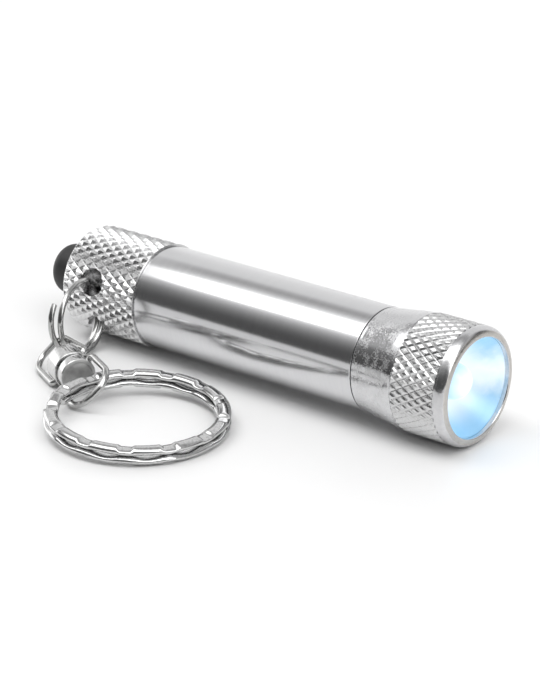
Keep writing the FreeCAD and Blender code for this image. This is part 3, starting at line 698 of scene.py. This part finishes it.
reflector = {
    "bore": 3.0, "back": 3.8, "rimInner": 6.6, "rimOuter": 6.65, "start": 58.14, "neck": 59.6,
    "throat": 3.15, "rim": 63.2, "end": 63.78, "mouth": 6.42, "flareStart": 59.3, "neckDepth": 0.15,
    "bulge": 0.19,
}


def coneRows():
    # the inside is a shallow curve from the mouth to the throat
    inside = []
    steps = 18
    for k in range(steps + 1):
        share = k / steps
        bulge = reflector["bulge"] * math.sin(math.pi * share)
        inside.append((reflector["end"] + (reflector["neck"] - reflector["end"]) * share,
                       reflector["mouth"] + (reflector["throat"] - reflector["mouth"]) * share + bulge))
    return [(reflector["start"], reflector["bore"]), (reflector["start"], reflector["back"]),
            (reflector["flareStart"], reflector["back"]), (reflector["rim"], reflector["rimInner"]),
            (reflector["rim"], reflector["rimOuter"]), (reflector["end"], reflector["rimOuter"]),
            *inside, (reflector["neck"] - reflector["neckDepth"], reflector["bore"])]


points, faces = turnedMesh(coneRows(), 160)
makePiece("reflector_cone", points, faces, lightPlace, "light_module",
          finishes["reflector"], 30, ["reflector"])

lamp = {"start": 58.12, "flange": 58.8, "flangeRadius": 2.85, "radius": 2.4, "dome": 60.5}


def lampRows():
    rows = [(lamp["start"], 0.0), (lamp["start"], lamp["flangeRadius"]),
            (lamp["flange"], lamp["flangeRadius"]), (lamp["flange"], lamp["radius"])]
    steps = 12
    for k in range(steps + 1):
        turn = math.pi / 2 * k / steps
        rows.append((lamp["dome"] + lamp["radius"] * math.sin(turn), lamp["radius"] * math.cos(turn)))
    rows[-1] = (lamp["dome"] + lamp["radius"], 0.0)
    return rows


points, faces = turnedMesh(lampRows(), 96, False)
makePiece("lamp_dome", points, faces, lightPlace, "light_module", finishes["lamp"], 30,
          ["led_lamp"])
print("button, reflector and lamp made")


# return spring: a plain coil of wire behind the button's flange, clear of it at rest
returnSpring = {
    "start": 7.36, "end": 9.06, "wire": 0.16, "radius": 2.4, "turns": 3, "stepDegrees": 12, "pressed": 0.48,
}


def springPath(size):
    # a plain helix about X, its wire just inside both end planes
    low, high = size["start"] + size["wire"], size["end"] - size["wire"]
    count = round(360 * size["turns"] / size["stepDegrees"])
    path = []
    for k in range(count + 1):
        turn = math.radians(k * size["stepDegrees"])
        path.append(Vector((low + (high - low) * k / count, size["radius"] * math.cos(turn),
                            size["radius"] * math.sin(turn))) * mm)
    return path


points, faces = wireMesh(springPath(returnSpring), returnSpring["wire"] * mm, 12)
springPiece = makePiece("return_spring_coil", points, faces, lightPlace, "light_body",
                        finishes["steel"], 40, ["return_spring"])
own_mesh(springPiece)
print("return spring made")


# small split ring: two turns of spring wire, the free end sprung outwards

smallRing = {
    "radius": 5.08, "wire": 0.4, "step": 0.39, "startDegrees": 135, "rampStart": 338, "rampEnd": 382,
    "endDegrees": 700, "sprung": 0.75, "bow": 0.35, "aside": 0.15,
    "sprungOver": 80, "belly": 0.3, "bellyStart": 100, "bellyEnd": 200, "stepDegrees": 4,
}


def smallRingPath():
    # angles run from the top of the passage towards the free end and on round the ring
    path = []
    size = smallRing
    count = round((size["endDegrees"] - size["startDegrees"]) / size["stepDegrees"])
    for k in range(count + 1):
        degrees = size["startDegrees"] + k * size["stepDegrees"]
        travelled = degrees - size["startDegrees"]
        sprung = size["sprung"] * (1 - smoothStep(travelled / size["sprungOver"]))
        sprung += size["bow"] * math.sin(math.pi * min(travelled / size["sprungOver"], 1.0))
        rise = smoothStep((degrees - size["rampStart"]) / (size["rampEnd"] - size["rampStart"]))
        angle = math.radians(degrees)
        share = (degrees % 360 - size["bellyStart"]) / (size["bellyEnd"] - size["bellyStart"])
        belly = size["belly"] * math.sin(math.pi * min(max(share, 0.0), 1.0))
        reach = size["radius"] + sprung + belly
        path.append(Vector((-size["step"] + 2 * size["step"] * rise - size["aside"] * sprung,
                            reach * math.cos(angle), reach * math.sin(angle))) * mm)
    return path


points, faces = wireMesh(smallRingPath(), smallRing["wire"] * mm, 24)
makePiece("small_ring_wire", points, faces, smallRingPlace, "split_ring", finishes["wire"], 40,
          ["small_split_ring"])


# swivel: collar, drum and two wire bows pinned into their sides

collar = {"back": -3.2, "floor": -2.6, "bore": 1.1, "inside": 2.3, "radius": 2.65}
collarRows = outlineOf([
    (collar["back"], collar["bore"]), (collar["back"], collar["radius"], 0.22), (0, collar["radius"], 0.12),
    (0, collar["inside"], 0.08), (collar["floor"], collar["inside"], 0.2), (collar["floor"], collar["bore"])])
points, faces = turnedMesh(collarRows, 96)
makePiece("swivel_collar_cup", points, faces, swivelPlace, "swivel_rear", finishes["ring"], 30,
          ["swivel_collar"])

# drum: a rivet head behind the collar, a neck through it, a body inside it and a wider head in front
drum = {
    "rivetBack": -3.8, "rivetFront": -3.4, "rivet": 1.7, "neck": 1.05, "bodyBack": -2.5, "body": 2.05,
    "headStart": 0.12, "head": 2.4, "rim": 1.9, "rimInside": 1.95, "face": 1.84, "faceRadius": 1.8,
}
drumRows = outlineOf([
    (drum["rivetBack"], 0), (drum["rivetBack"], drum["rivet"], 0.2),
    (drum["rivetFront"], drum["rivet"], 0.08), (drum["rivetFront"], drum["neck"]),
    (drum["bodyBack"], drum["neck"]), (drum["bodyBack"], drum["body"], 0.1),
    (drum["headStart"], drum["body"]), (drum["headStart"], drum["head"], 0.08),
    (drum["rim"], drum["head"], 0.2), (drum["rim"], drum["rimInside"], 0.1),
    (drum["face"], drum["faceRadius"], 0.1), (drum["face"], 0)], False)
points, faces = turnedMesh(drumRows, 96, False)
drumPiece = makePiece("swivel_drum_core", points, faces, swivelPlace, "swivel_front",
                      finishes["ring"], 30, ["swivel_drum"])
drumPiece.data.materials.append(finishes["face"])
for face in drumPiece.data.polygons:
    if face.center.x > (drum["face"] - 0.01) * mm:
        face.material_index = 1


# both bows are a U of wire; "pin" is how far from the axis each end of it stands
bowWire = {"wire": 0.44, "halfWidth": 3.12, "pinBend": 0.5, "upperShare": 0.83}
rearBow = {"root": -1.7, "end": -9.0, "corner": 2.2, "pin": 2.32, "upperEnd": 2.1}
frontBow = {"root": 0.8, "end": 7.95, "corner": 2.6, "pin": 1.5, "upperEnd": 3.12}


def bowPath(root, end, corner, pin, upperEnd):
    # a U of wire: pin, leg, crossbar, leg, pin; the upper leg may lean in towards the crossbar
    half = bowWire["halfWidth"]
    bend = bowWire["pinBend"]
    upperCorner = min(corner, upperEnd * bowWire["upperShare"])
    corners = [
        (Vector((root, -pin, 0)), 0), (Vector((root, -half, 0)), bend), (Vector((end, -half, 0)), corner),
        (Vector((end, upperEnd, 0)), upperCorner), (Vector((root, half, 0)), bend),
        (Vector((root, pin, 0)), 0)]
    return [p * mm for p in roundedLine(corners, False, 9)]


points, faces = wireMesh(bowPath(**rearBow), bowWire["wire"] * mm, 24)
makePiece("rear_bow_wire", points, faces, swivelPlace, "swivel_rear", finishes["wire"], 40,
          ["rear_bow"])
points, faces = wireMesh(bowPath(**frontBow), bowWire["wire"] * mm, 24)
makePiece("front_bow_wire", points, faces, swivelPlace, "swivel_front", finishes["wire"], 40,
          ["front_bow"])


# key ring: two turns of flattened wire with pressed notches

keyRing = {
    "middle": 11.05, "halfWidth": 0.95, "halfHeight": 0.6, "step": 0.6, "squareness": 2.05,
    "lowEnd": 197, "ramp": 25, "notches": 13, "notchDegrees": 9, "edgeDegrees": 2.2, "notchDepth": 0.5,
    "gapDepth": 0.42, "tilt": 3.13, "tiltTowards": 165, "stepDegrees": 1.0, "sides": 32, "bulge": 0.05,
}
ringLean = math.radians(keyRing["tilt"])
leanWay = math.radians(keyRing["tiltTowards"])
keyRingPlace = Matrix.Translation(middleOf("key_ring")) @ Matrix.Rotation(
    ringLean, 4, Vector((math.sin(leanWay), -math.cos(leanWay), 0)))


def notchAt(degrees):
    # 1 inside a pressed notch, 0 between notches
    period = 360 / keyRing["notches"]
    offset = abs((degrees + period / 2) % period - period / 2)
    half = keyRing["notchDegrees"] / 2
    return 1 - smoothStep((offset - half + keyRing["edgeDegrees"] / 2) / keyRing["edgeDegrees"])


def keyRingMesh():
    size = keyRing
    turnDegrees = 720 - size["ramp"]
    count = round(turnDegrees / size["stepDegrees"])
    period = 360 / size["notches"]
    power = 2 / size["squareness"]
    sides = size["sides"]
    points, faces = [], []
    for k in range(count + 1):
        travelled = k * size["stepDegrees"]
        degrees = size["lowEnd"] - travelled
        angle = math.radians(degrees)
        rise = smoothStep((travelled - (360 - size["ramp"])) / size["ramp"])
        notch = notchAt(degrees)
        scallop = 0.5 - 0.5 * math.cos(2 * math.pi * degrees / period)
        level = -size["step"] + 2 * size["step"] * rise
        for j in range(sides):
            turn = 2 * math.pi * j / sides
            cosine, sine = math.cos(turn), math.sin(turn)
            wide = math.copysign(abs(cosine) ** power, cosine)
            high = math.copysign(abs(sine) ** power, sine)
            outer = (high > 0) == (rise > 0.5)    # the side that faces away from the other turn
            width = size["halfWidth"] * (1 - size["bulge"] * (1 - notch))
            if outer:
                height = size["halfHeight"] * (1 - size["notchDepth"] * notch)
            else:
                height = size["halfHeight"] * (1 - size["gapDepth"] * scallop)
            reach = size["middle"] + width * wide
            points.append((reach * math.cos(angle) * mm, reach * math.sin(angle) * mm,
                           (level + height * high) * mm))
    for k in range(count):
        for j in range(sides):
            n = (j + 1) % sides
            faces.append((k * sides + j, k * sides + n, (k + 1) * sides + n, (k + 1) * sides + j))
    faces.append(tuple(range(sides)))
    faces.append(tuple(range(count * sides, (count + 1) * sides)))
    return points, faces


points, faces = keyRingMesh()
makePiece("key_ring_band", points, faces, keyRingPlace, "keys_ring", finishes["ring"], 50,
          ["key_ring"])
print("rings and swivel made")


# the CAD pieces that stay, all inside the casing

innerFinishes = {
    "switch_plunger": "plastic", "switch_housing": "plastic", "switch_contact": "brass",
    "cell_spring": "steel", "cell_can": "steel", "cell_filling": "paste", "cell_wrap": "label",
    "cell_seal": "seal", "cell_positive_nub": "steel", "head_o_ring": "rubber", "ground_ring": "brass",
    "board_carrier": "head", "driver_board": "board", "positive_contact": "brass", "driver_chip": "plastic",
    "driver_coil": "plastic", "lamp_leads": "steel",
}
for node, finish in innerFinishes.items():
    for innerSlot in frame["nodes"][node].material_slots:
        innerSlot.material = finishes[finish]
print("inner pieces finished:", len(innerFinishes))


# studio

def makeFloor():
    # pale card with a slight gloss
    paper = {"half": 2.0, "colour": "#efefef", "roughness": 0.38}
    half = paper["half"]
    corners = [(-half, -half, 0), (half, -half, 0), (half, half, 0), (-half, half, 0)]
    mesh = bpy.data.meshes.new("studioFloor")
    mesh.from_pydata(corners, [], [(0, 1, 2, 3)])
    floor = bpy.data.objects.new("studioFloor", mesh)
    bpy.context.scene.collection.objects.link(floor)
    material, tree = newMaterial("paperFloor")
    shader = shaderOf(tree)
    shader.inputs["Base Color"].default_value = hexColour(paper["colour"])
    shader.inputs["Roughness"].default_value = paper["roughness"]
    mesh.materials.append(material)


def makeStudioLight():
    # a tent of light strips that run along the flashlight, as (degrees, brightness) from the front, over
    # the top, to the back; it changes along the flashlight, so that the bright strip ends near the head
    tent = {
        "strength": 4.55, "highest": 4.0, "leftEdge": (-0.74, -0.64), "rightEdge": (0.2, 0.5),
        "left": [
            (0, 0.09), (20, 0.095), (28, 0.12), (44, 0.2), (52, 0.45), (60, 0.45), (76, 0.3), (92, 0.3),
            (100, 0.55), (110, 0.85), (124, 0.88), (138, 0.7), (150, 0.45), (162, 0.5), (172, 0.8),
            (180, 0.92)],
        "middle": [
            (0, 0.09), (12, 0.085), (20, 0.095), (28, 0.14), (36, 0.23), (44, 0.38), (54, 0.7), (58, 1.0),
            (61, 3.0), (84, 3.0), (88, 1.6), (92, 0.95), (100, 0.58), (108, 0.40), (116, 0.52), (124, 0.8),
            (150, 0.87), (180, 0.92)],
        "right": [
            (0, 0.1), (24, 0.1), (36, 0.14), (46, 0.35), (56, 1.2), (64, 2.6), (92, 2.6), (98, 0.8),
            (112, 0.4), (128, 0.55), (140, 0.35), (150, 0.12), (166, 0.1), (174, 0.35), (180, 0.9)],
        "endCard": (-0.86, -0.97), "endCardValue": 1.9,
    }
    world = bpy.data.worlds.new("studioTent")
    bpy.context.scene.world = world
    world.use_nodes = True
    tree = world.node_tree
    background = tree.nodes["Background"]
    way = addNode(tree, "ShaderNodeTexCoord").outputs["Generated"]
    split = addNode(tree, "ShaderNodeSeparateXYZ", Vector=way)
    front = addNode(tree, "ShaderNodeMath", {"operation": "MULTIPLY"}, _0=split.outputs[1], _1=-1.0)
    angle = addNode(tree, "ShaderNodeMath", {"operation": "ARCTAN2"},
                    _0=split.outputs[2], _1=front.outputs[0])
    share = addNode(tree, "ShaderNodeMath", {"operation": "DIVIDE"}, _0=angle.outputs[0], _1=math.pi)
    top = tent["highest"]
    ramps = {}
    for key in ("left", "middle", "right"):
        stops = [(degrees / 180, grey(value / top)) for degrees, value in tent[key]]
        ramps[key] = rampOf(tree, share.outputs[0], stops).outputs[0]

    def between(edge):
        return addNode(tree, "ShaderNodeMapRange", {"interpolation_type": "SMOOTHSTEP"},
                       _0=split.outputs[0], _1=edge[0], _2=edge[1]).outputs[0]

    def mixed(factor, low, high):
        return addNode(tree, "ShaderNodeMix", {"data_type": "RGBA"},
                       _0=factor, _6=low, _7=high).outputs[2]

    card = tent["endCardValue"] / top
    colour = mixed(between(tent["leftEdge"]), ramps["left"], ramps["middle"])
    colour = mixed(between(tent["rightEdge"]), colour, ramps["right"])
    colour = mixed(between(tent["endCard"]), colour, grey(card))
    tree.links.new(colour, background.inputs["Color"])
    background.inputs["Strength"].default_value = tent["strength"]


def makeCamera():
    view = {"azimuth": 39.48, "elevation": 22.41, "distance": 374.83 * mm, "lens": 141.9,
            "aim": Vector((-4.76, 21.50, 0.0)) * mm}
    camera = bpy.data.cameras.new("studioCamera")
    camera.lens = view["lens"]
    camera.sensor_width = 36
    camera.clip_start = 0.01
    holder = bpy.data.objects.new("studioCamera", camera)
    bpy.context.scene.collection.objects.link(holder)
    azimuth, elevation = math.radians(view["azimuth"]), math.radians(view["elevation"])
    back = Vector((math.sin(azimuth) * math.cos(elevation), -math.cos(azimuth) * math.cos(elevation),
                   math.sin(elevation)))
    holder.location = view["aim"] + back * view["distance"]
    holder.rotation_euler = back.to_track_quat("Z", "Y").to_euler()
    bpy.context.scene.camera = holder


makeFloor()
makeStudioLight()
makeCamera()
bpy.context.scene.view_settings.view_transform = "Standard"
print("studio made")

bpy.context.view_layer.update()
